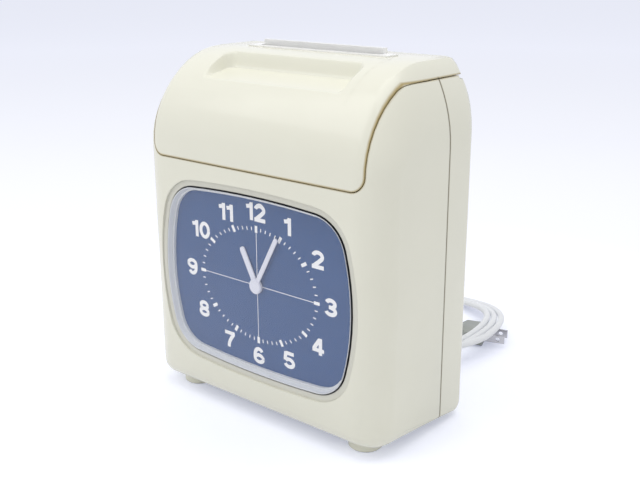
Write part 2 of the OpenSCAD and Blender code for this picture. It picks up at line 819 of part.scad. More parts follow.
module chute_front() color("silver") difference() {
    across(-frame_x - frame_t, frame_x + frame_t) polygon([
        [frame_end_y, chute_z], [chute_front_y, chute_z], [chute_front_y, chute_top - 6],
        [chute_front_y - 2, chute_top], [frame_end_y - 2, chute_top], [frame_end_y, chute_top - 6]
    ]);
    roller_windows(frame_end_y - 1, chute_front_y + 1, feed_r);
    block([-1, 1] * (card_w / 2 - 2), [frame_end_y - 1, chute_front_y + 1],
        span(print_z, [-1, 1] * window_h / 2));
    both_sides() for (z = [[chute_z - 1, frame_low - 6], [cassette_z + 8, chute_top + 1]])
        block([card_w / 2 + 6, body_w], [frame_end_y - 3, chute_front_y + 1], z);
}

module chute_rear() color("silver") difference() {
    union() {
        block([-1, 1] * (card_w / 2 + chute_t), [chute_rear_y, chute_rear_y + chute_t],
            [chute_z, chute_top]);
        both_sides() block([card_w / 2, card_w / 2 + chute_t], [chute_front_y, chute_rear_y + chute_t],
            [chute_z, chute_top - 6]);
        block([-1, 1] * (card_w / 2 + chute_t), [chute_front_y, chute_rear_y + chute_t],
            span(chute_z, [0, chute_t]));
        both_sides() block(ear_x, [chute_rear_y, pinch_y + 4.5], span(feed_z, [-5, 5]));
    }
    roller_windows(chute_rear_y - 1, chute_rear_y + chute_t + 1, pinch_r);
    block([-1, 1] * (platen_w / 2 + fit), [chute_rear_y - 1, chute_rear_y + 3],
        span(print_z, [-1, 1] * (window_h / 2 + fit)));
    both_sides() rod_x(pinch_y, feed_z, ear_x[0] - 1, ear_x[1] + 1, pinch_shaft_r + running);
}

module platen() color("dimgray") {
    block([-1, 1] * platen_w / 2, [chute_rear_y - fit, chute_rear_y + chute_t + 1],
        span(print_z, [-1, 1] * window_h / 2));
    block([-1, 1] * (platen_w / 2 + 2), span(chute_rear_y + chute_t, [0, 2]),
        span(print_z, [-1, 1] * (window_h / 2 + 3)));
}

module feed_shaft() color("silver")
    rod_x(feed_y, feed_z, -frame_x - frame_t - 2, gear_x + gear_t + 1, feed_shaft_r);

module roller(y, r, bore) for (x = at_rollers) difference() {
    rod_x(y, feed_z, x - roller_w / 2, x + roller_w / 2, r);
    rod_x(y, feed_z, x - roller_w, x + roller_w, bore + 0.03);
}

module feed_rollers() color("dimgray") roller(feed_y, feed_r, feed_shaft_r);

module pinch_shaft() color("silver") rod_x(pinch_y, feed_z, -ear_x[1] - 2, ear_x[1] + 2, pinch_shaft_r);

module pinch_rollers() color("dimgray") roller(pinch_y, pinch_r, pinch_shaft_r);

module feed_gear() color("whitesmoke") difference() {
    across(gear_x, gear_x + gear_t) translate([feed_y, feed_z])
        gear(feed_teeth, feed_module, 225 + 180 / feed_teeth);
    rod_x(feed_y, feed_z, gear_x - 1, gear_x + gear_t + 1, feed_shaft_r + 0.03);
}

module feed_pinion() color("silver") {
    across(gear_x, gear_x + gear_t) translate(pinion_at) gear(pinion_teeth, feed_module, 45);
    rod_x(pinion_at[0], pinion_at[1], frame_x - 5, gear_x + gear_t, feed_motor_shaft_r);
}

module feed_motor() color("dimgray") difference() {
    rod_x(pinion_at[0], pinion_at[1], frame_x - 26, frame_x, feed_motor_r);
    rod_x(pinion_at[0], pinion_at[1], frame_x - 5.4, frame_x + 1, feed_motor_shaft_r + running);
}

// Printer

module side_plate() across(frame_x, frame_x + frame_t) difference() {
    polygon([
        [frame_y, frame_low], [frame_end_y, frame_low], [frame_end_y, cassette_z + 9],
        [50, cassette_z + 9], [44, cassette_z], [28, cassette_z], [frame_y, cassette_z - 12]
    ]);
    translate([feed_y, feed_z]) circle(feed_shaft_r + running);
    translate(screw_at) circle(screw_r + running);
    for (p = rods) translate(p) circle(rod_r + 0.02);
    for (z = post_z) translate([post_y, z]) circle(case_screw_r + 0.1);
}

module printer_frame() color("lightsteelblue") difference() {
    union() {
        both_sides() side_plate();
        block([-1, 1] * (frame_x + 0.1), [frame_y + 2, 48], span(tie_z, [0, frame_t]));
        block([-1, 1] * (frame_x + 0.1), [frame_y + 2, frame_y + 2 + frame_t], span(tie_z, [0, 10]));
        both_sides() block([cassette_w / 2 - 8, frame_x + 0.1], [28, 42], span(cassette_z, [-1.2, 0]));
    }
    rod_x(pinion_at[0], pinion_at[1], frame_x - 1, frame_x + 3, feed_motor_shaft_r + 1);
}

module frame_screws() color("silver") both_sides() for (z = post_z) {
    rod_x(post_y, z, frame_x - 1.8, frame_x, 2.8);
    rod_x(post_y, z, frame_x, frame_x + 12, case_screw_r);
}

module guide_rods() color("silver") for (p = rods)
    rod_x(p[0], p[1], -frame_x - frame_t, frame_x + frame_t, rod_r);

module lead_screw() color("silver")
    rod_x(screw_at[0], screw_at[1], -frame_x - frame_t - 4, frame_x + frame_t + 2, screw_r);

module carriage_motor() color("dimgray") difference() {
    rod_x(screw_at[0], screw_at[1], motor_room + wall - half_w, -frame_x - frame_t, carriage_motor_r);
    rod_x(screw_at[0], screw_at[1], -frame_x - frame_t - 4.4, -frame_x, screw_r + running);
}

module print_carriage() color("darkslategray") difference() {
    across(-carriage_w / 2, carriage_w / 2) polygon([
        [carriage_y[0], rods[0][1] - 6], [carriage_y[1], rods[0][1] - 6], [carriage_y[1], print_z - 1.5],
        [screw_at[0] + 5, print_z + 1.5], [screw_at[0] - 5, print_z + 1.5], [carriage_y[0], rods[0][1] + 6]
    ]);
    for (p = rods) rod_x(p[0], p[1], -carriage_w, carriage_w, rod_r + running);
    rod_x(screw_at[0], screw_at[1], -carriage_w, carriage_w, screw_r + running);
}

module print_head() color("darkgray") {
    block([-7, 7], [carriage_y[1], frame_end_y - 7], span(print_z, [-6, 6.5]));
    block([-2.5, 2.5], [frame_end_y - 7.1, frame_end_y - 1.9], span(print_z, [-4, 4]));
}

module ribbon_cassette() color("darkslategray") difference() {
    union() {
        block([-1, 1] * cassette_w / 2, [22, frame_end_y - 5], span(cassette_z, [fit, 12]));
        both_sides() block([cassette_w / 2 - 8, cassette_w / 2], [44, frame_end_y - 1.2],
            span(cassette_z, [-16, 12]));
    }
    rod_z(knob_at[0], knob_at[1], cassette_z + 3, cassette_z + 20, 2 + running);
    both_sides() block([cassette_w / 2 - 9, cassette_w / 2 + 1], span(ribbon_y, [-0.1, 0.25]),
        span(print_z, [-4.3, 4.3]));
}

module ribbon() color("indigo")
    block([-1, 1] * (cassette_w / 2 - 1), span(ribbon_y, [0, 0.15]), span(print_z, [-4, 4]));

module ribbon_knob() color("royalblue") {
    translate([knob_at[0], knob_at[1], cassette_z + 12.3]) linear_extrude(4.5) difference() {
        circle(8);
        for (a = [0:30:330]) rotate(a) translate([8.4, 0]) circle(1.3);
    }
    rod_z(knob_at[0], knob_at[1], cassette_z + 3.4, cassette_z + 12.4, 2);
}

// Board and supply

module main_board() color("seagreen") difference() {
    block(board_x, board_y, span(board_z, [0, board_t]));
    for (p = board_corners) rod_z(p[0], p[1], board_z - 1, board_z + board_t + 1, case_screw_r + 0.1);
}

module board_parts() color("dimgray") {
    z = board_z + board_t;
    x = board_x[1];
    y = board_y[0];
    for (i = [0:2]) block(span(x - 85 + 26 * i, [0, 18]), span(y, [10, 22]), [z, z + 4.5]);
    for (i = [0:2]) rod_z(x - 79 + 18 * i, y + 33, z, z + 18, 6);
    for (i = [0, 1]) block(span(x - 27 + 12 * i, [0, 7]), span(y, [26, 42]), [z, z + 14]);
}

module board_screws() color("silver") for (p = board_corners) {
    rod_z(p[0], p[1], floor_at(p[1]) + wall + 1, board_z + board_t, case_screw_r);
    rod_z(p[0], p[1], board_z + board_t, board_z + board_t + 1.8, 3);
}

module transformer() color("peru") {
    across(core_x[0], core_x[1]) polygon([
        [core_y[0], floor_at(core_y[0]) + wall], [core_y[1], floor_at(core_y[1]) + wall],
        [core_y[1], core_top], [core_y[0], core_top]
    ]);
    block(core_x + [8, -8], core_y + [-1, 1] * winding, [core_top - 30, core_top - 6]);
}

// Mains lead and plug

module cord_bushing() color("lightgray") {
    translate([cord_x, body_d, cord_z]) rotate([-90, 0, 0]) rotate_extrude() polygon([
        [0, -wall - 3], [bush_r + 1.6, -wall - 3], [bush_r + 1.6, -wall - fit], [bush_r, -wall - fit],
        [bush_r, 0], [bush_r + 2, 0], [bush_r + 2, 2],
        [bush_r - 0.6, 4], [cord_r + 1, relief_l], [0, relief_l]
    ]);
}

function unit(v) = v / norm(v);

// Rings of a tube along a path: each ring lies square to the mean direction of its two stretches
function tube_rings(path, r, n) = [for (i = [0:len(path) - 1])
    let (
        a = path[max(i - 1, 0)],
        b = path[min(i + 1, len(path) - 1)],
        along = unit(b - a),
        side = unit(cross([0, 0, 1], along)),
        up = cross(along, side)
    )
    [for (j = [0:n - 1]) path[i] + r * (cos(360 * j / n) * side + sin(360 * j / n) * up)]];

module power_cord() color("lightgray") joined(tube_rings(lead_route, cord_r, 8));

// Coil: loops spiral in over the table, climb where the spiral turns back, and run out on top
function coil_radius(t) =
    let (u = t - coil_in, least = coil_r - coil_pitch * coil_in)
    u <= 0 ? coil_r - coil_pitch * t
    : u <= 0.5 ? least - coil_pitch * u + 2 * coil_pitch * u * u
    : least + coil_pitch * (u - 0.5);

function coil_height(t) = floor_z + coil_climb * min(1, max(0, 2 * (t - coil_in))) + hump(360 * t);

// The loops rise over the plug
function hump(a) =
    let (off = abs((a - hump_at + 180) % 360 - 180))
    off < hump_half ? hump_h * pow(cos(90 * off / hump_half), 2) : 0;

function coil_point(t) = [
    coil_at[0] + coil_radius(t) * cos(360 * t),
    coil_at[1] + coil_radius(t) * sin(360 * t),
    coil_height(t)
];

module cord_coil() color("lightgray") joined(tube_rings(coil_path, cord_r, 6));

module plug_lead() color("lightgray") joined(tube_rings(concat([coil_end], tail_route), cord_r, 8));

module at_plug() translate(plug_at) rotate(plug_turn) children();

module plug_body() color("lightgray") at_plug() difference() {
    hull() {
        rotate([0, 90, 0]) cylinder(h = 0.5, r = cord_r + 1);
        translate([8, -plug_w / 2 + 3, -plug_h / 2]) cube([plug_l - 8, plug_w - 6, plug_h]);
        translate([10, -plug_w / 2, -plug_h / 2 + 2]) cube([plug_l - 10, plug_w, plug_h - 4]);
    }
    for (s = [-1, 1]) translate([plug_l - 6, s * blade_gap / 2 - blade[1] / 2, -blade[2] / 2])
        cube([10, blade[1], blade[2]]);
}

module plug_blades() color("silver") at_plug() for (s = [-1, 1])
    translate([plug_l - 6, s * blade_gap / 2, 0]) difference() {
        translate([0, -blade[1] / 2, -blade[2] / 2]) cube([blade[0] + 6, blade[1], blade[2]]);
        translate([6 + 11.7, -5, 0]) rotate([-90, 0, 0]) cylinder(h = 10, r = 1.6);
    }

stand() front_case();
stand() rear_case();
stand() top_cover();
stand() card_slot_guide();
stand() hinge_pins();
stand() case_screws();
stand() feet();
stand() lens();
stand() dial_frame();
stand() dial();
stand() dial_screws();
stand() hour_hand();
stand() minute_hand();
stand() hand_cap();
stand() movement_front_plate();
stand() movement_rear_plate();
stand() movement_pillars();
stand() movement_screws();
stand() minute_arbor();
stand() minute_wheel();
stand() motion_wheel();
stand() hour_wheel();
stand() stepper_motor();
stand() motor_pinion();
stand() chute_front();
stand() chute_rear();
stand() feed_shaft();
stand() feed_rollers();
stand() feed_gear();
stand() feed_pinion();
stand() feed_motor();
stand() pinch_shaft();
stand() pinch_rollers();
stand() printer_frame();
stand() frame_screws();
stand() guide_rods();
stand() lead_screw();
stand() carriage_motor();
stand() print_carriage();
stand() print_head();
stand() platen();
stand() ribbon_cassette();
stand() ribbon();
stand() ribbon_knob();
stand() main_board();
stand() board_parts();
stand() board_screws();
stand() transformer();
stand() cord_bushing();
stand() power_cord();
stand() cord_coil();
stand() plug_lead();
stand() plug_body();
stand() plug_blades();
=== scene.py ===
"""Desk time recorder in a white studio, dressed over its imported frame.

Sizes in this script are millimetres and the meshes are metres. x runs to the right, y to the rear, z up.
"""
import json
import math

import bpy
import numpy as np
from mathutils import Matrix

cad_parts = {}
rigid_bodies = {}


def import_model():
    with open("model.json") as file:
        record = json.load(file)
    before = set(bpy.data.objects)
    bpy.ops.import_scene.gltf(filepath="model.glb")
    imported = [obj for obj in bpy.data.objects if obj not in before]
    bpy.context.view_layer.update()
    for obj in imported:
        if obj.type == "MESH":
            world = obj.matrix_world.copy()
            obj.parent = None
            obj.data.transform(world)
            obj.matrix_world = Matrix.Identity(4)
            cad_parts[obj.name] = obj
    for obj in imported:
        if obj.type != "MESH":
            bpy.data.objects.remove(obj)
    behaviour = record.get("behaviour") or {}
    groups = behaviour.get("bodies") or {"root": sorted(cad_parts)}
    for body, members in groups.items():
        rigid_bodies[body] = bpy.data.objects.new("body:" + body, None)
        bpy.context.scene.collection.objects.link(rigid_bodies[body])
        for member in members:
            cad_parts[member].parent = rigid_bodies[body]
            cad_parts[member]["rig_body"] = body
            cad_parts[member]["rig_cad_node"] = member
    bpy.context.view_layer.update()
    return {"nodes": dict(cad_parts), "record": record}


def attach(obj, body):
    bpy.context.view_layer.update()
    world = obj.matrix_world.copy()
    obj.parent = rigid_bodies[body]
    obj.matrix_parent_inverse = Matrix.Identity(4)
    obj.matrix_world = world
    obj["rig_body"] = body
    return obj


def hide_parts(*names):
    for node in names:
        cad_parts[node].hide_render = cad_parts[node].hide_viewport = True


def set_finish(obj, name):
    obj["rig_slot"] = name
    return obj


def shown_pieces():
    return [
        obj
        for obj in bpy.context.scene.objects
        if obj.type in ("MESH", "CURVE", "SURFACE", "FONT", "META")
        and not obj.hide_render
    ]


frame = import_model()

MM = 0.001
HALF_DEPTH = 49.0      # front plane of the case is this far in front of the origin
DIAL_Z = 94.0          # height of the dial's centre
NODES = frame["nodes"]
SLOT_OF = {part["node"]: part["material_slot"] for part in frame["record"]["subparts"]}


# Helpers for meshes and places

def mesh_piece(name, points, faces, body, slot, smooth=True, sharp_deg=35.0):
    """A piece from points in millimetres and faces, riding on a body and taking a finish."""
    mesh = bpy.data.meshes.new(name)
    mesh.from_pydata((np.asarray(points, float) * MM).tolist(), [], [list(map(int, f)) for f in faces])
    mesh.validate()
    if smooth:
        mesh.polygons.foreach_set("use_smooth", np.ones(len(mesh.polygons), bool))
        mesh.set_sharp_from_angle(angle=math.radians(sharp_deg))
    mesh.update()
    piece = bpy.data.objects.new(name, mesh)
    bpy.context.scene.collection.objects.link(piece)
    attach(piece, body)
    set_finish(piece, slot)
    return piece


def grid_quads(rows, cols, wrap_rows=False, wrap_cols=False):
    """Quads of a grid of points stored row by row: corner (i, j) to (i+1, j) to (i+1, j+1) to (i, j+1)."""
    i = np.arange(rows if wrap_rows else rows - 1)
    j = np.arange(cols if wrap_cols else cols - 1)
    a, b = np.meshgrid(i, j, indexing="ij")
    a2, b2 = (a + 1) % rows, (b + 1) % cols
    quads = np.stack([a * cols + b, a2 * cols + b, a2 * cols + b2, a * cols + b2], -1)
    return quads.reshape(-1, 4)


def merged_mesh(node):
    """The node's own triangles in millimetres, with equal corners merged."""
    source = NODES[node].data
    corners = np.empty(len(source.vertices) * 3)
    source.vertices.foreach_get("co", corners)
    source.calc_loop_triangles()
    tris = np.empty(len(source.loop_triangles) * 3, int)
    source.loop_triangles.foreach_get("vertices", tris)
    points, where = np.unique(np.round(corners.reshape(-1, 3) / MM, 4), axis=0, return_inverse=True)
    tris = where.reshape(-1)[tris].reshape(-1, 3)
    sound = (tris[:, 0] != tris[:, 1]) & (tris[:, 1] != tris[:, 2]) & (tris[:, 2] != tris[:, 0])
    return points, tris[sound]


def skin(node, points, faces):
    """A shell in place of the node, whose curved walls shade as curves."""
    piece = mesh_piece(node + "_skin", points, faces, NODES[node]["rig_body"], SLOT_OF[node], sharp_deg=32.0)
    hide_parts(node)
    return piece


def smooth_copy(node):
    """The node's own form as a skin."""
    return skin(node, *merged_mesh(node))


def to_row(points):
    """Points with y counted from the front plane, moved to the part's own origin."""
    return np.asarray(points, float) - [0, HALF_DEPTH, 0]


def aimed(name, data, at, back, up):
    """A camera or lamp; its matrix's columns are its right, up and backward directions, then its place."""
    back = np.array(back, float) / np.linalg.norm(back)
    right = np.cross(up, back)
    right /= np.linalg.norm(right)
    matrix = np.eye(4)
    matrix[:3, :3] = np.stack([right, np.cross(back, right), back], 1)
    matrix[:3, 3] = np.array(at, float) * MM
    thing = bpy.data.objects.new(name, data)
    bpy.context.scene.collection.objects.link(thing)
    thing.matrix_world = Matrix(matrix.tolist())
    return thing


# Camera of the photograph: worked out from the case's edges and the dial

CAMERA_AT = (385.0, -395.1 - HALF_DEPTH, 298.7)
CAMERA_BACK = (0.6095, -0.7339, 0.2998)
CAMERA_UP = (-0.189, 0.2327, 0.954)


def set_camera():
    """The camera that the scene renders from, with its view measured on a sensor 36 mm wide."""
    data = bpy.data.cameras.new("photo_camera")
    data.sensor_width, data.lens, data.clip_end = 36.0, 51.92, 30.0
    bpy.context.scene.camera = aimed("photo_camera", data, CAMERA_AT, CAMERA_BACK, CAMERA_UP)


set_camera()


# Mains lead: the given stations of its free stretches, with the loops between them

CORD_R, FLOOR_GAP = 2.5, 0.1
LEAD_ROUTE = [
    (60, 126, 20), (60, 133, 20), (60.6, 142, 19.5), (61.8, 151, 18.8), (63.4, 160, 18), (65, 169, 17.3),
    (66, 178, 16.8),
]
TAIL_ROUTE = [
    (-22.6, 113.9, 8.2), (-12.6, 113.3, 8.2), (-1.9, 116.9, 8.2), (6, 125.4, 6.4), (9.6, 136.6, 4),
    (9.6, 147, 2.6), (7.6, 157, 2.6), (5.4, 167, 2.6), (4.6, 176.5, 2.8), (6.2, 185.8, 3.8),
    (10.3, 193, 5.2), (16.6, 198, 6.4), (24, 200.8, 6.7), (29.5, 202.6, 6.7),
]
COIL_AT, COIL_R, COIL_PITCH, COIL_CLIMB = (-18.0, 189.0), 84.5, 5.6, 5.6
COIL_IN, COIL_TURN, COIL_OUT = 2.0, 0.5, 0.22      # turns inward, in the reversal and outward
LOOP_POINTS = 24
HUMP_H, HUMP_AT, HUMP_HALF = 14.3, 9.0, 90.0       # rise of the loops over the plug, in mm and degrees


def coil_points():
    """Spiral inward, a half turn that climbs one layer while it reverses, then outward on top.

    Near the plug every loop rises by a squared cosine of the angle, so that it passes over the plug.
    """
    turns = COIL_IN + COIL_TURN + COIL_OUT
    t = np.linspace(0, turns, round(turns * LOOP_POINTS) + 1)
    u = t - COIL_IN
    least = COIL_R - COIL_PITCH * COIL_IN
    reversal = least - COIL_PITCH * u * (1 - u / COIL_TURN)
    outward = least + COIL_PITCH * (u - COIL_TURN)
    radius = np.where(u <= 0, COIL_R - COIL_PITCH * t, np.where(u <= COIL_TURN, reversal, outward))
    off = np.abs((360 * t - HUMP_AT + 180) % 360 - 180)
    hump = HUMP_H * np.cos(np.radians(90 * np.minimum(off / HUMP_HALF, 1))) ** 2
    height = CORD_R + FLOOR_GAP + COIL_CLIMB * np.clip(u / COIL_TURN, 0, 1) + hump
    angle = 2 * np.pi * t
    return np.stack([COIL_AT[0] + radius * np.cos(angle), COIL_AT[1] + radius * np.sin(angle), height], 1)


def smooth_path(stations, per_span=6):
    """Smooth curve through the stations: cubic spans that pass each one along its neighbours' chord."""
    p = np.asarray(stations, float)
    q = np.vstack([2 * p[0] - p[1], p, 2 * p[-1] - p[-2]])
    t = np.linspace(0, 1, per_span, endpoint=False)[None, :, None]
    a, b, c, d = (q[k:len(q) - 3 + k, None] for k in range(4))
    square, cube = 2 * a - 5 * b + 4 * c - d, 3 * b - a - 3 * c + d
    curve = 0.5 * (2 * b + (c - a) * t + square * t ** 2 + cube * t ** 3)
    return np.vstack([curve.reshape(-1, 3), p[-1]])


def tube(path, radius, sides=18):
    """Circle of that radius carried along the path, square to it, with z as the way up; ends closed."""
    along = np.gradient(path, axis=0)
    along /= np.linalg.norm(along, axis=1, keepdims=True)
    side = np.cross([0.0, 0.0, 1.0], along)
    side /= np.linalg.norm(side, axis=1, keepdims=True)
    up = np.cross(along, side)
    a = np.linspace(0, 2 * np.pi, sides, endpoint=False)[None, :, None]
    points = path[:, None] + radius * (np.cos(a) * side[:, None] + np.sin(a) * up[:, None])
    count = len(path) * sides
    ends = [range(sides), range(count - 1, count - sides - 1, -1)]
    return points.reshape(-1, 3), grid_quads(len(path), sides, wrap_cols=True)[:, ::-1].tolist() + ends


def make_cord():
    """The whole lead from its bushing to the plug as one tube."""
    path = to_row(smooth_path(np.vstack([LEAD_ROUTE, coil_points(), TAIL_ROUTE])))
    points, faces = tube(path, CORD_R)
    cord = mesh_piece("mains_lead", points, faces, "case", "cord_sheath")
    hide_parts("power_cord", "cord_coil", "plug_lead")
    plug = smooth_copy("plug_body")


make_cord()


# Window: its outline is four long arcs joined by round corners

WINDOW_W, WINDOW_H = 161.0, 120.6
SIDE_R, TOP_R, CORNER_R = 150.0, 700.0, 26.0
ARC_POINTS, CORNER_POINTS = 10, 18      # along half of a long arc, and round a corner
LENS_GAP, LENS_FRONT, LENS_BACK, LENS_CROWN = 0.9, 0.3, 0.8, 0.2

# Profiles across the window's edge, as insets from its outline and depths behind the front plane
LENS_RIM = [(LENS_GAP, LENS_BACK), (LENS_GAP, 0.7), (1.1, 0.5), (1.6, LENS_FRONT)]
# The black band's profile: painted shade in the gap round the window
GAP_SHADE_PROFILE = [(-1.5, 4.0), (-1.5, 2.85), (0.8, 2.85), (0.8, 0.75), (0.89, 0.75), (0.89, 4.0)]
LIP_PROFILE = [(0.92, 3.98), (0.92, 0.86), (1.7, 0.86), (LENS_GAP + 2.0, 3.98)]

# Shares of the outline at which the sheet's back and front have a ring of points
BACK_SHARES, FRONT_SHARES = (0.02, 0.5), (0.95, 0.85, 0.7, 0.5, 0.25, 0.02)


def corner_centre():
    """Point at the corner's radius inside both the side arc and the top arc."""
    a, ra = np.array([WINDOW_W / 2 - SIDE_R, 0.0]), SIDE_R - CORNER_R
    b, rb = np.array([0.0, WINDOW_H / 2 - TOP_R]), TOP_R - CORNER_R
    d = np.linalg.norm(b - a)
    u = (b - a) / d
    s = (ra * ra - rb * rb + d * d) / (2 * d)
    return a + s * u + math.sqrt(ra * ra - s * s) * np.array([-u[1], u[0]])


def window_outline(inset):
    """Outline by the angle of its outward normal: side arc, corner, top arc, mirrored into four quarters."""
    corner = corner_centre()
    side_c, top_c = np.array([WINDOW_W / 2 - SIDE_R, 0.0]), np.array([0.0, WINDOW_H / 2 - TOP_R])
    a = math.atan2(*(corner - side_c)[::-1])
    b = math.atan2(*(corner - top_c)[::-1])
    spans = [(side_c, SIDE_R, 0, a, ARC_POINTS), (corner, CORNER_R, a, b, CORNER_POINTS),
             (top_c, TOP_R, b, math.pi / 2, ARC_POINTS)]
    quarter = []
    for centre, r, start, stop, count in spans:
        angle = np.linspace(start, stop, count, endpoint=False)
        quarter.append(centre + (r - inset) * np.stack([np.cos(angle), np.sin(angle)], 1))
    quarter = np.vstack(quarter)
    top = top_c + [0, TOP_R - inset]
    half = np.vstack([quarter, top, quarter[:0:-1] * [-1, 1]])
    left = quarter[0] * [-1, 1]
    return np.vstack([half, left, half[:0:-1] * [1, -1]])


def window_ring(inset, depth, share=1.0):
    """The outline at an inset, drawn in by a share, set at a depth behind the front plane of the case."""
    return np.insert(window_outline(inset) * share, 1, depth, axis=1) + [0, -HALF_DEPTH, DIAL_Z]


def make_lens():
    """Clear sheet: rings from the middle of its back out round the bevelled rim, then in over a low crown."""
    rings = [window_ring(LENS_GAP, LENS_BACK, share) for share in BACK_SHARES]
    rings += [window_ring(inset, depth) for inset, depth in LENS_RIM]
    rings += [window_ring(LENS_RIM[-1][0], LENS_FRONT - LENS_CROWN * (1 - share * share), share)
              for share in FRONT_SHARES]
    points = np.array(rings)
    rows, cols = points.shape[:2]
    ends = [range(cols - 1, -1, -1), range((rows - 1) * cols, rows * cols)]
    faces = grid_quads(rows, cols, wrap_cols=True)[:, ::-1].tolist() + ends
    lens = mesh_piece("window_plate", points.reshape(-1, 3), faces, "case", "clear_plastic", sharp_deg=25)
    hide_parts("lens")


def window_band(name, profile, slot):
    """Closed band round the window: a profile of insets and depths carried along its outline."""
    points = np.array([window_ring(inset, depth) for inset, depth in profile])
    faces = grid_quads(*points.shape[:2], wrap_rows=True, wrap_cols=True)
    mesh_piece(name, points.reshape(-1, 3), faces, "case", slot)


make_lens()
# A black band in the gap round the window as painted shade: the gap and the window's edge in shade
window_band("window_gap_shade", GAP_SHADE_PROFILE, "black_plastic")
window_band("frame_lip", LIP_PROFILE, "frame_plastic")


# Printing on the dial

NUMERAL_RING, NUMERAL_SQUARE = (60.4, 48.6), 2.1      # half axes of the numbers' ring, and its power
NUMERAL_SPREAD = 1.033                                # how much further apart sideways than their hours
NUMERAL_H, NUMERAL_WIDE = 11.3, 1.06
PEN, FIGURE_GAP, STROKE_LIFT = 0.23, 0.09, 0.001      # as shares of the figures' height
TICK_RING = (49.4, 37.6)
HOUR_BAR, MINUTE_TICK = (4.6, 2.2), (2.4, 0.7)        # length and width
CROSS_SHORT, CROSS_W = 2.5, 0.45                      # the cross stops short of the ring of ticks
DIAL_DEPTH, PRINT_LIFT = 6.0, 0.05
PRINT_Y = DIAL_DEPTH - PRINT_LIFT - HALF_DEPTH


def bow(cx, cy, rx, ry, start, stop, count=22):
    """Points along an arc of an ellipse, from one angle to the other in degrees."""
    a = np.radians(np.linspace(start, stop, count))
    return np.stack([cx + rx * np.cos(a), cy + ry * np.sin(a)], 1)


def pen_strokes():
    """Centre lines of the ten figures, one unit high: bold, wide and without serifs."""
    six = [bow(0, 0.31, 0.30, 0.215, 0, 360),
           np.vstack([bow(0, 0.5, 0.30, 0.405, 40, 180), [(-0.30, 0.31)]])]
    return {
        "0": [bow(0, 0.5, 0.30, 0.405, 0, 360)],
        "1": [np.array([(0.1, 0), (0.1, 1)]), np.array([(-0.26, 0.76), (-0.02, 0.80), (0.1, 0.93)])],
        "2": [np.vstack([bow(0, 0.68, 0.29, 0.225, 172, -28), [(0.05, 0.38), (-0.26, 0.13)]]),
              np.array([(-0.39, 0.095), (0.39, 0.095)])],
        "3": [bow(0, 0.705, 0.27, 0.2, 165, -90), bow(0, 0.295, 0.30, 0.2, 90, -165),
              np.array([(-0.12, 0.505), (0, 0.505)])],
        "4": [np.array([(0.14, 0), (0.14, 1)]), np.array([(0.09, 0.93), (-0.30, 0.33)]),
              np.array([(-0.39, 0.285), (0.38, 0.285)])],
        "5": [np.array([(-0.25, 0.905), (0.33, 0.905)]), np.array([(-0.23, 0.97), (-0.29, 0.44)]),
              bow(0, 0.325, 0.30, 0.23, 150, -160)],
        "6": six,
        "7": [np.array([(-0.38, 0.905), (0.38, 0.905)]),
              np.array([(0.31, 0.87), (0.12, 0.62), (-0.04, 0.33), (-0.1, 0)])],
        "8": [bow(0, 0.705, 0.26, 0.2, 0, 360), bow(0, 0.295, 0.30, 0.2, 0, 360)],
        "9": [[0, 1] - line for line in six],
    }


def ribbon_of(line, width):
    """Flat band of that width along a centre line, with square ends: points either side, and their quads."""
    along = np.gradient(line, axis=0)
    along /= np.linalg.norm(along, axis=1, keepdims=True)
    aside = along[:, ::-1] * [-1, 1] * width / 2
    return np.stack([line - aside, line + aside], 1).reshape(-1, 2), grid_quads(len(line), 2)


def numeral(text, centre):
    """Figures side by side as flat bands round the centre given, each stroke a hair above the last."""
    figures, place, base = pen_strokes(), 0.0, 0
    points, faces = [], []
    for digit in text:
        flats = [ribbon_of(line, PEN) for line in figures[digit]]
        reach = np.vstack([flat for flat, _ in flats])[:, 0]
        for layer, (flat, quads) in enumerate(flats):
            points.append(np.insert(flat + [place - reach.min(), 0], 1, -STROKE_LIFT * layer, axis=1))
            faces.append(quads + base)
            base += len(flat)
        place += np.ptp(reach) + FIGURE_GAP
    points = np.vstack(points)
    middle = (points.min(0) + points.max(0)) / 2
    size = np.array([NUMERAL_WIDE, 1, 1]) * NUMERAL_H
    return (points - middle) * size + [centre[0], PRINT_Y, DIAL_Z + centre[1]], np.vstack(faces)


def bars(middles, ways, length, width):
    """Flat bars: each a rectangle round its middle, long along its way."""
    across = ways[:, ::-1] * [1, -1]
    half = np.array([[-1, -1], [1, -1], [1, 1], [-1, 1]]) / 2
    reach = np.broadcast_to(length, len(middles))[:, None, None]
    flat = middles[:, None] + half[:, :1] * ways[:, None] * reach + half[:, 1:] * across[:, None] * width
    points = np.insert(flat.reshape(-1, 2), 1, PRINT_Y, axis=1) + [0, 0, DIAL_Z]
    return points, np.arange(len(points)).reshape(-1, 4)


def ellipse_on_ray(ring, angle, power=2.0):
    """Point of an ellipse, or of a squarer one, on the ray at that angle, clockwise from twelve."""
    way = np.stack([np.sin(angle), np.cos(angle)], -1)
    reach = (np.abs(way / ring) ** power).sum(-1) ** (-1 / power)
    return way, way * reach[..., None]


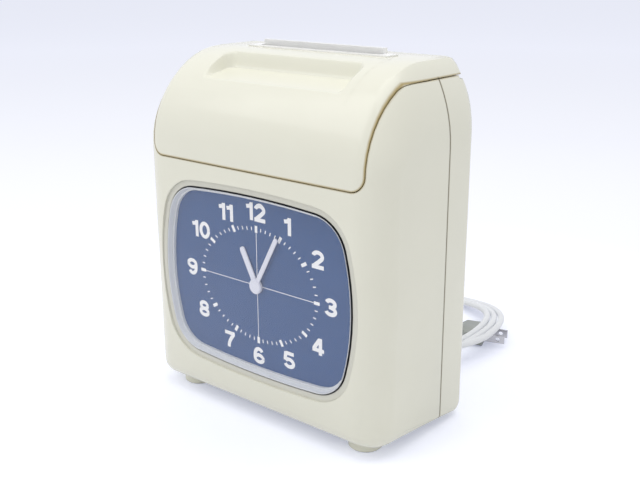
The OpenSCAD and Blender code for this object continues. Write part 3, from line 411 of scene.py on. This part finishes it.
def make_dial_print():
    """White printing on the dial: numbers, hour bars, minute ticks and the thin cross of lines."""
    minutes = np.arange(60)
    hours = np.arange(12) * np.pi / 6
    spread = np.arctan2(NUMERAL_SPREAD * np.sin(hours), np.cos(hours))
    _, centres = ellipse_on_ray(NUMERAL_RING, spread, NUMERAL_SQUARE)
    parts = [numeral(str(hour or 12), centre) for hour, centre in enumerate(centres)]
    way, place = ellipse_on_ray(TICK_RING, hours)
    parts.append(bars(place, way, *HOUR_BAR))
    way, place = ellipse_on_ray(TICK_RING, minutes[minutes % 5 > 0] * np.pi / 30)
    parts.append(bars(place, way, *MINUTE_TICK))
    way, place = ellipse_on_ray(np.subtract(TICK_RING, CROSS_SHORT), np.arange(4) * np.pi / 2)
    parts.append(bars(place / 2, way, np.linalg.norm(place, axis=1), CROSS_W))
    starts = np.cumsum([0] + [len(points) for points, _ in parts])
    faces = np.vstack([quads + start for (_, quads), start in zip(parts, starts)])
    points = np.vstack([points for points, _ in parts])
    mesh_piece("dial_printing", points, faces, "case", "hand_paint", smooth=False)


make_dial_print()


# Case shells

BROW_R, LID_TOP_Z = 60.0, 237.0
BROW_FROM, BROW_SPANS = 37.5, 7      # first angle of the eased part, and the CAD brow's flats from there
SPAN_ROWS, EASED_COLUMNS = 14, 193
BROW_HALF_W, EASED_HALF_W = 80.0, 64.0
RECESS_HALF_W, RECESS_BACK_Y, RECESS_CORNER = 57.0, 44.5, 8.0
RECESS_FRONT_Y, RECESS_RISE = 18.5, 0.2
RIM_OUT, RIM_IN = 0.8, 2.6
NEAR = 0.01                          # how close a corner has to lie to count as on the brow
FACING, UNLEVEL = 0.9, 0.05          # parts of a unit normal that tell an end wall and an outer face


def brow(angle):
    """Depth from the front and height of the lid's round brow at an angle above its level centre."""
    return BROW_R * (1 - np.cos(angle)), LID_TOP_Z - BROW_R * (1 - np.sin(angle))


def brow_height(y):
    """Height of the brow at a depth from the front."""
    return brow(np.arccos(np.clip(1 - y / BROW_R, -1, 1)))[1]


def eased_recess():
    """Brow with the finger recess sunk in it: the depth to a gently rising floor, eased away across the rim.

    The rim is a rounded box in plan, and the ease is a smooth step of the distance from it.
    """
    x, angle = np.meshgrid(np.linspace(-EASED_HALF_W, EASED_HALF_W, EASED_COLUMNS),
                           np.radians(np.linspace(BROW_FROM, 90, BROW_SPANS * SPAN_ROWS + 1)))
    y, top = brow(angle)
    floor = brow_height(RECESS_FRONT_Y) + (y - RECESS_FRONT_Y) * RECESS_RISE
    aside = np.abs(x) - RECESS_HALF_W + RECESS_CORNER
    behind = y - RECESS_BACK_Y + RECESS_CORNER
    outside = np.hypot(np.maximum(aside, 0), np.maximum(behind, 0))
    rim = outside + np.minimum(np.maximum(aside, behind), 0) - RECESS_CORNER
    share = np.clip((RIM_OUT - rim) / (RIM_OUT + RIM_IN), 0, 1)
    depth = np.maximum(top - floor, 0) * share * share * (3 - 2 * share)
    return to_row(np.stack([x, y, top - depth], -1))


def make_lid():
    """The lid's own form, with the outer brow round the recess cut out and the eased surface put in."""
    points, tris = merged_mesh("top_cover")
    x, y, z = points.T
    y_from, y_to = brow(np.radians([BROW_FROM, 90]))[0] - HALF_DEPTH
    inside = (np.abs(x) < BROW_HALF_W + NEAR) & (y > y_from - NEAR) & (y < y_to + NEAR)
    a, b, c = points[tris].swapaxes(0, 1)
    normal = np.cross(b - a, c - a)
    normal /= np.linalg.norm(normal, axis=1, keepdims=True)
    end_wall = (np.abs(normal[:, 0]) > FACING) & (normal[:, 0] * (a + b + c)[:, 0] < 0)
    outer = (normal[:, 2] > UNLEVEL) | (normal[:, 1] < -UNLEVEL) | end_wall
    tris = tris[~(inside[tris].all(1) & outer)]
    on_brow = np.abs(z - brow_height(y + HALF_DEPTH)) < NEAR
    edge = inside & on_brow & (np.abs(np.abs(x) - BROW_HALF_W) < NEAR)
    patch = eased_recess()
    shape = patch.shape[:2]
    place = len(points) + np.arange(shape[0] * shape[1]).reshape(shape)
    faces = tris.tolist() + (grid_quads(*shape)[:, ::-1] + len(points)).tolist()
    for side, column in ((-1, place[:, 0]), (1, place[:, -1])):
        rail = np.flatnonzero(edge & (x * side > 0))
        rail = rail[y[rail].argsort()]
        for span in range(BROW_SPANS):
            inner = column[span * SPAN_ROWS:(span + 1) * SPAN_ROWS + 1]
            faces.append([rail[span], *inner, rail[span + 1]][::-side])
    skin("top_cover", np.vstack([points, patch.reshape(-1, 3)]), faces)


make_lid()
for shell in ("front_case", "rear_case", "feet", "card_slot_guide"):
    smooth_copy(shell)


# Materials

LID_HALF_W, LID_LOW_Z, LID_CORNER, LID_SIDE_Z = 87.5, 169.5, 9.0, 226.5
APRON_BACK_Y = BROW_R - HALF_DEPTH
SEAM_Y = 69.6 - HALF_DEPTH
# Painted shade of the joints: the width of its dark core, its strength, and how far it reaches in each tone
SHADE_CORE, SHADE_SHARE = 0.2, 0.85                     # half width of a joint's dark core, and its strength
LID_SHADE, SEAM_SHADE = (1.25, "AD9650"), (1.1, "857A5C")      # reach from the joint, and tone
STEP_HALF_W, STEP_HALF_H = WINDOW_W / 2 + 4.5, WINDOW_H / 2 + 4.5
STEP_FROM, STEP_TO = 0.8, 1.3                         # depths over which the step's shade comes in
HANDS_BACK, HANDS_FRONT = 0.3, 0.6                    # heights over the print where the hands' tone comes in
PATCH_MM, THREAD_MM, TRACK_MM = 30.0, 3.1416, 14.0
LINE_STRETCH = 12.0                                   # length of a metal's lines against their width
GLOSS_SPREAD, LINE_SPREAD = 0.04, 0.08                # change of roughness in the patches and the lines
WAVE_UNIT = 2 * math.pi / 20                          # a wave texture's own wavelength at a scale of one


def colour(code):
    """sRGB hex to linear red, green, blue and alpha."""
    s = np.array([int(code[i:i + 2], 16) for i in (0, 2, 4)]) / 255
    return (*np.where(s <= 0.04045, s / 12.92, ((s + 0.055) / 1.055) ** 2.4), 1.0)


def per_metre(size_mm):
    """Texture scale at which one feature is about that many millimetres."""
    return 1 / (size_mm * MM)


def add(tree, kind, inputs=None, **settings):
    """Adds a node: settings are its properties, inputs are values or the nodes or outputs that feed it."""
    made = tree.nodes.new("ShaderNode" + kind)
    for key, value in settings.items():
        setattr(made, key, value)
    for key, value in (inputs or {}).items():
        if isinstance(value, bpy.types.Node):
            value = next(socket for socket in value.outputs if socket.enabled)
        if isinstance(value, bpy.types.NodeSocket):
            tree.links.new(value, made.inputs[key])
        else:
            made.inputs[key].default_value = value
    return made


def new_material(name):
    """A material with an empty node tree."""
    material = bpy.data.materials.new(name)
    material.use_nodes = True
    material.node_tree.nodes.clear()
    return material, material.node_tree


def joint_dirt(tree, place, base):
    """Base colour with painted shade: ochre on the lid's edge and brown on the shells' seam for the shade and
    warm bounce in these gaps, and grey in the step.

    The lid's edge is where the distance from a rounded box seen from the front (its apron) or from a level
    plane (its sides) is nil. The step's grey takes what lies behind the front plane in a box round the window.
    That box has no rear limit, so the rear wall behind the window is grey too.
    """
    at = add(tree, "SeparateXYZ", {"Vector": place}).outputs
    mirrored = add(tree, "VectorMath", {0: place}, operation="ABSOLUTE")
    corner = ((LID_CORNER - LID_HALF_W) * MM, 0.0, (LID_CORNER + LID_LOW_Z) * MM)
    past = add(tree, "VectorMath", {0: mirrored, 1: (1.0, 0.0, -1.0), 2: corner}, operation="MULTIPLY_ADD")
    past = add(tree, "VectorMath", {0: past, 1: (0.0, 0.0, 0.0)}, operation="MAXIMUM")
    away = add(tree, "VectorMath", {0: past}, operation="LENGTH")
    apron = add(tree, "Math", {0: away, 1: LID_CORNER * MM}, operation="SUBTRACT")
    behind = add(tree, "Math", {0: at["Y"], 1: APRON_BACK_Y * MM}, operation="SUBTRACT")
    apron = add(tree, "Math", {0: apron, 1: behind}, operation="MAXIMUM")
    level = add(tree, "Math", {0: LID_SIDE_Z * MM, 1: at["Z"]}, operation="SUBTRACT")
    lid_edge = add(tree, "Math", {0: apron, 1: level}, operation="MINIMUM")
    seam = add(tree, "Math", {0: at["Y"], 1: SEAM_Y * MM}, operation="SUBTRACT")
    seam = add(tree, "Math", {0: seam}, operation="ABSOLUTE")
    above = add(tree, "Math", {0: level, 1: -1.0}, operation="MULTIPLY")
    seam = add(tree, "Math", {0: seam, 1: above}, operation="MAXIMUM")
    # Painted shade along the lid's edge and the shells' seam, strongest on the joint and fading over its reach
    for distance, (reach, tone) in ((lid_edge, LID_SHADE), (seam, SEAM_SHADE)):
        distance = add(tree, "Math", {0: distance}, operation="ABSOLUTE")
        share = add(tree, "MapRange", {"Value": distance, "From Min": SHADE_CORE * MM, "From Max": reach * MM,
                                       "To Min": SHADE_SHARE, "To Max": 0.0})
        base = add(tree, "Mix", {"Factor": share, "A": base, "B": colour(tone)}, data_type="RGBA")
    # Painted shade in the step round the window: grey on what lies behind the front plane inside the box
    sunk = add(tree, "MapRange", {"Value": at["Y"], "From Min": (STEP_FROM - HALF_DEPTH) * MM,
                                  "From Max": (STEP_TO - HALF_DEPTH) * MM})
    for axis, middle, half in (("X", 0.0, STEP_HALF_W), ("Z", DIAL_Z, STEP_HALF_H)):
        within = add(tree, "Math", {0: at[axis], 1: middle * MM, 2: half * MM}, operation="COMPARE")
        sunk = add(tree, "Math", {0: sunk, 1: within}, operation="MULTIPLY")
    return add(tree, "Mix", {"Factor": sunk, "A": base, "B": colour("DCDBCF")}, data_type="RGBA")


def hand_tone(tree, place, base):
    """Base colour, turned lilac grey where the piece stands well in front of the dial's print."""
    depth = add(tree, "SeparateXYZ", {"Vector": place}).outputs["Y"]
    share = add(tree, "MapRange", {"Value": depth, "From Min": (PRINT_Y - HANDS_FRONT) * MM,
                                   "From Max": (PRINT_Y - HANDS_BACK) * MM, "To Min": 1.0, "To Max": 0.0})
    return add(tree, "Mix", {"Factor": share, "A": base, "B": colour("E3E4F1")}, data_type="RGBA")


def moulded(name, light, dark, rough, grain_mm, grain_depth, edge_mm=0.3, marks_and_shade=None, **sockets):
    """Moulded or coated surface: faint patches of tone and gloss, a fine grain, soft edges, and any marks and
    painted shade it is given.

    The grain is drawn coarser than the tool's own, so that it shows.
    """
    material, tree = new_material(name)
    place = add(tree, "TexCoord").outputs["Object"]
    patches = add(tree, "TexNoise", {
        "Vector": place, "Scale": per_metre(PATCH_MM), "Detail": 3.0}).outputs["Fac"]
    tone = add(tree, "Mix", {"Factor": patches, "A": colour(light), "B": colour(dark)}, data_type="RGBA")
    if marks_and_shade:
        tone = marks_and_shade(tree, place, tone)
    grain = add(tree, "TexNoise", {
        "Vector": place, "Scale": per_metre(grain_mm), "Detail": 2.0}).outputs["Fac"]
    gloss = add(tree, "MapRange", {
        "Value": patches, "To Min": rough - GLOSS_SPREAD, "To Max": rough + GLOSS_SPREAD})
    edge = add(tree, "Bevel", {"Radius": edge_mm * MM}, samples=4)
    bump = add(tree, "Bump", {
        "Height": grain, "Strength": 0.35, "Distance": grain_depth * MM, "Normal": edge})
    shader = add(tree, "BsdfPrincipled", {"Base Color": tone, "Roughness": gloss, "Normal": bump, **sockets})
    add(tree, "OutputMaterial", {"Surface": shader})
    return material


def worked_metal(name, light, dark, rough, line_mm):
    """Worked metal: lines along x, drawn coarser than its own so that they show, vary its tone and gloss."""
    material, tree = new_material(name)
    place = add(tree, "TexCoord").outputs["Object"]
    lines = add(tree, "Mapping", {"Vector": place, "Scale": (1.0, LINE_STRETCH, LINE_STRETCH)})
    brushed = add(tree, "TexNoise", {
        "Vector": lines, "Scale": per_metre(line_mm * LINE_STRETCH), "Detail": 4.0}).outputs["Fac"]
    tone = add(tree, "Mix", {"Factor": brushed, "A": colour(dark), "B": colour(light)}, data_type="RGBA")
    gloss = add(tree, "MapRange", {
        "Value": brushed, "To Min": rough + LINE_SPREAD, "To Max": rough - LINE_SPREAD})
    bump = add(tree, "Bump", {"Height": brushed, "Strength": 0.1, "Distance": 0.02 * MM})
    shader = add(tree, "BsdfPrincipled", {
        "Base Color": tone, "Metallic": 1.0, "Roughness": gloss, "Normal": bump})
    add(tree, "OutputMaterial", {"Surface": shader})
    return material


def clear_acrylic(name):
    """Clear cast acrylic, polished as a new sheet; light on its way to the dial passes straight through."""
    material, tree = new_material(name)
    sheet = add(tree, "BsdfPrincipled", {
        "Base Color": colour("FFFFFF"), "Roughness": 0.0, "IOR": 1.49, "Transmission Weight": 1.0})
    path = add(tree, "LightPath").outputs
    passing = add(tree, "Math", {0: path["Is Shadow Ray"], 1: path["Is Diffuse Ray"]}, operation="MAXIMUM")
    mix = add(tree, "MixShader", {0: passing, 1: sheet, 2: add(tree, "BsdfTransparent")})
    add(tree, "OutputMaterial", {"Surface": mix})
    return material


def woven_ribbon(name):
    """Inked nylon ribbon: two crossed thread directions, drawn about 3 mm apart so that they show."""
    material, tree = new_material(name)
    place = add(tree, "TexCoord").outputs["Object"]
    warp, weft = (add(tree, "TexWave", {"Vector": place, "Scale": WAVE_UNIT * per_metre(THREAD_MM)},
                      bands_direction=axis).outputs["Fac"] for axis in "XZ")
    weave = add(tree, "Math", {0: warp, 1: weft}, operation="MAXIMUM")
    tone = add(tree, "Mix", {"Factor": weave, "A": colour("170F2C"), "B": colour("33265A")}, data_type="RGBA")
    shader = add(tree, "BsdfPrincipled", {"Base Color": tone, "Roughness": 0.85})
    add(tree, "OutputMaterial", {"Surface": shader})
    return material


def circuit_laminate(name):
    """Green solder mask over copper tracks: the tracks show as slightly lighter lanes."""
    material, tree = new_material(name)
    place = add(tree, "TexCoord").outputs["Object"]
    tracks = add(tree, "TexBrick", {
        "Vector": place, "Scale": per_metre(TRACK_MM), "Color1": colour("1F5A38"), "Color2": colour("24653F"),
        "Mortar": colour("3C8457"), "Mortar Size": 0.035})
    shader = add(tree, "BsdfPrincipled", {"Base Color": tracks, "Roughness": 0.3, "IOR": 1.5})
    add(tree, "OutputMaterial", {"Surface": shader})
    return material


FINISHES = {
    # Glossy moulding: clear soft highlights, with painted shade along the joints where the pieces meet and in
    # the step round the window
    "ivory_plastic": moulded("moulded_ABS_ivory", "EFEEDF", "EBEADA", 0.2, 0.7, 0.006, edge_mm=1.0,
                             marks_and_shade=joint_dirt),
    # Thin white wall that light soaks into
    "guide_plastic": moulded("moulded_ABS_white", "FEFEFC", "FAFAF8", 0.34, 0.7, 0.01,
                             **{"Subsurface Weight": 0.6, "Subsurface Radius": (6 * MM, 6 * MM, 6 * MM)}),
    # Window, of which only the reflections show
    "clear_plastic": clear_acrylic("cast_acrylic_clear"),
    # Satin pale wall round the dial, cooler than the case
    "frame_plastic": moulded("moulded_ABS_lilac_white", "DDE0E4", "D7DADE", 0.4, 0.6, 0.006),
    # Flat blue coat with hardly a reflection
    "dial_paint": moulded("enamel_navy", "26528A", "234C82", 0.6, 0.25, 0.004, **{"Specular IOR Level": 0.2}),
    # Clean satin white for the print, and its lilac on the hands
    "hand_paint": moulded("enamel_white", "FCFCFE", "F7F7FB", 0.4, 0.3, 0.003, edge_mm=0.1, marks_and_shade=hand_tone),
    # Yellow plates and wheels with the lines of rolling
    "movement_brass": worked_metal("rolled_brass", "C9A551", "A98638", 0.32, 0.3),
    # Bright shafts, rods and screws with the lines of turning
    "steel": worked_metal("turned_steel", "C4C7CB", "9DA1A6", 0.3, 0.3),
    # Greyer frame and chute, with a dull plated sheen
    "sheet_steel": worked_metal("zinc_plated_sheet", "B4B8BC", "8F9499", 0.38, 0.5),
    # Dark grey coat on the motors
    "motor_can": moulded("enamelled_can_grey", "5A5D61", "505357", 0.4, 0.5, 0.01),
    # Black with no shine
    "roller_rubber": moulded("ground_rubber", "2B2B2D", "232325", 0.8, 0.3, 0.03),
    # Waxy off-white gears
    "gear_plastic": moulded("moulded_acetal", "ECEAE2", "E3E1D8", 0.35, 0.5, 0.006),
    # Satin black of the cassette, and of the band round the window, which is painted shade for the gap there
    "black_plastic": moulded("moulded_ABS_black", "2E3138", "262930", 0.42, 0.5, 0.02),
    # Dull silver skin of a casting
    "head_metal": worked_metal("die_cast_aluminium", "B0B4B8", "92969A", 0.45, 0.5),
    # Dark violet cloth
    "ribbon_cloth": woven_ribbon("inked_nylon_ribbon"),
    # Shiny blue, to be found at a glance
    "knob_plastic": moulded("moulded_ABS_blue", "3059B0", "294E9E", 0.3, 0.5, 0.006),
    # Glossy green board
    "board_laminate": circuit_laminate("solder_mask_green"),
    # Dull black of the board's parts
    "chip_plastic": moulded("moulded_epoxy", "2C2D30", "252629", 0.5, 0.4, 0.01),
    # Brown varnish over the stacked core
    "transformer_core": moulded("varnished_core", "6E5C49", "5B4B3B", 0.45, 0.8, 0.03),
    # Soft pale grey, with broad dull highlights along the cord
    "cord_sheath": moulded("vinyl_sheath_grey", "F2F4F7", "EAECF0", 0.48, 0.5, 0.01),
    # The same in mid grey
    "plug_vinyl": moulded("vinyl_moulding_grey", "A8ACA8", "A0A4A0", 0.46, 0.5, 0.01),
    # Bright plating, a little warm
    "blade_brass": worked_metal("nickel_plate", "D3D2D2", "B4B2B3", 0.25, 0.3),
}

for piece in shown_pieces():
    slot_name = SLOT_OF.get(piece.get("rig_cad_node")) or piece.get("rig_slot")
    piece.data.materials.clear()
    piece.data.materials.append(FINISHES[slot_name])


# Studio: white floor, white surround, a soft key from above the left front and a soft box overhead

FLOOR_HALF = 6000.0
FLOOR_TONE = (0.86, 0.865, 0.89, 1.0)                 # linear, like the glow, whose blue is past a hex value
GLOW_TONE = (0.86, 0.92, 1.2, 1.0)
GLOW_NEAR, GLOW_MID, GLOW_FAR = 0.3, 0.19, 0.1        # the far one comes on top of the middle one
NEAR_EDGE, FAR_EDGE = (0.28, 0.48), (1.0, 2.5)        # metres from the origin over which the glow changes
AMBIENT = 0.64


def seen_rays(tree):
    """One for rays from the camera, off gloss and through glass, and nil for those that light the object."""
    path = add(tree, "LightPath").outputs
    seen = add(tree, "Math", {0: path["Is Camera Ray"], 1: path["Is Glossy Ray"]}, operation="MAXIMUM")
    return add(tree, "Math", {0: seen, 1: path["Is Transmission Ray"]}, operation="MAXIMUM")


def make_floor():
    """White sweep: a wide level sheet that takes the object's shadow and glows by the distance from it."""
    corners = np.array([[-1, -1, 0], [1, -1, 0], [1, 1, 0], [-1, 1, 0]]) * FLOOR_HALF
    mesh = bpy.data.meshes.new("studio_floor")
    mesh.from_pydata((corners * MM).tolist(), [], [(0, 1, 2, 3)])
    floor = bpy.data.objects.new("studio_floor", mesh)
    bpy.context.scene.collection.objects.link(floor)
    material, tree = new_material("white_sweep")
    sheet = add(tree, "BsdfDiffuse", {"Color": FLOOR_TONE})
    place = add(tree, "TexCoord").outputs["Object"]
    away = add(tree, "VectorMath", {0: place}, operation="LENGTH")
    near = add(tree, "MapRange", {"Value": away, "From Min": NEAR_EDGE[0], "From Max": NEAR_EDGE[1],
                                  "To Min": GLOW_NEAR, "To Max": GLOW_MID})
    far = add(tree, "MapRange", {"Value": away, "From Min": FAR_EDGE[0], "From Max": FAR_EDGE[1],
                                 "To Min": 0.0, "To Max": GLOW_FAR})
    level = add(tree, "Math", {0: near, 1: far}, operation="ADD")
    glow = add(tree, "Emission", {"Color": GLOW_TONE, "Strength": level})
    both = add(tree, "AddShader", {0: sheet, 1: glow})
    mix = add(tree, "MixShader", {0: seen_rays(tree), 1: sheet, 2: both})
    add(tree, "OutputMaterial", {"Surface": mix})
    mesh.materials.append(material)


def set_world():
    """Even white surround; what the camera and reflections see of it is the pale backdrop."""
    world = bpy.data.worlds.new("white_room")
    bpy.context.scene.world = world
    world.use_nodes = True
    tree = world.node_tree
    tree.nodes.clear()
    light = add(tree, "Background", {"Color": colour("FFFFFF"), "Strength": AMBIENT})
    shown = add(tree, "Background", {"Color": colour("EFF1FC"), "Strength": 1.0})
    mix = add(tree, "MixShader", {0: seen_rays(tree), 1: light, 2: shown})
    add(tree, "OutputWorld", {"Surface": mix})


def soft_box(name, at, aim, up, size, watts):
    """Square lamp at a place, facing the aim point."""
    data = bpy.data.lights.new(name, "AREA")
    data.shape, data.size, data.energy = "SQUARE", size * MM, watts
    aimed(name, data, at, np.subtract(at, aim), up)


make_floor()
set_world()
soft_box("key_softbox", at=(-700, -1000, 1500), aim=(0, 0, 120), up=(0, 0, 1), size=1400, watts=7.5)
soft_box("top_softbox", at=(200, 100, 1700), aim=(0, 0, 100), up=(0, 1, 0), size=1500, watts=9.0)

bpy.context.scene.view_settings.view_transform = "Standard"
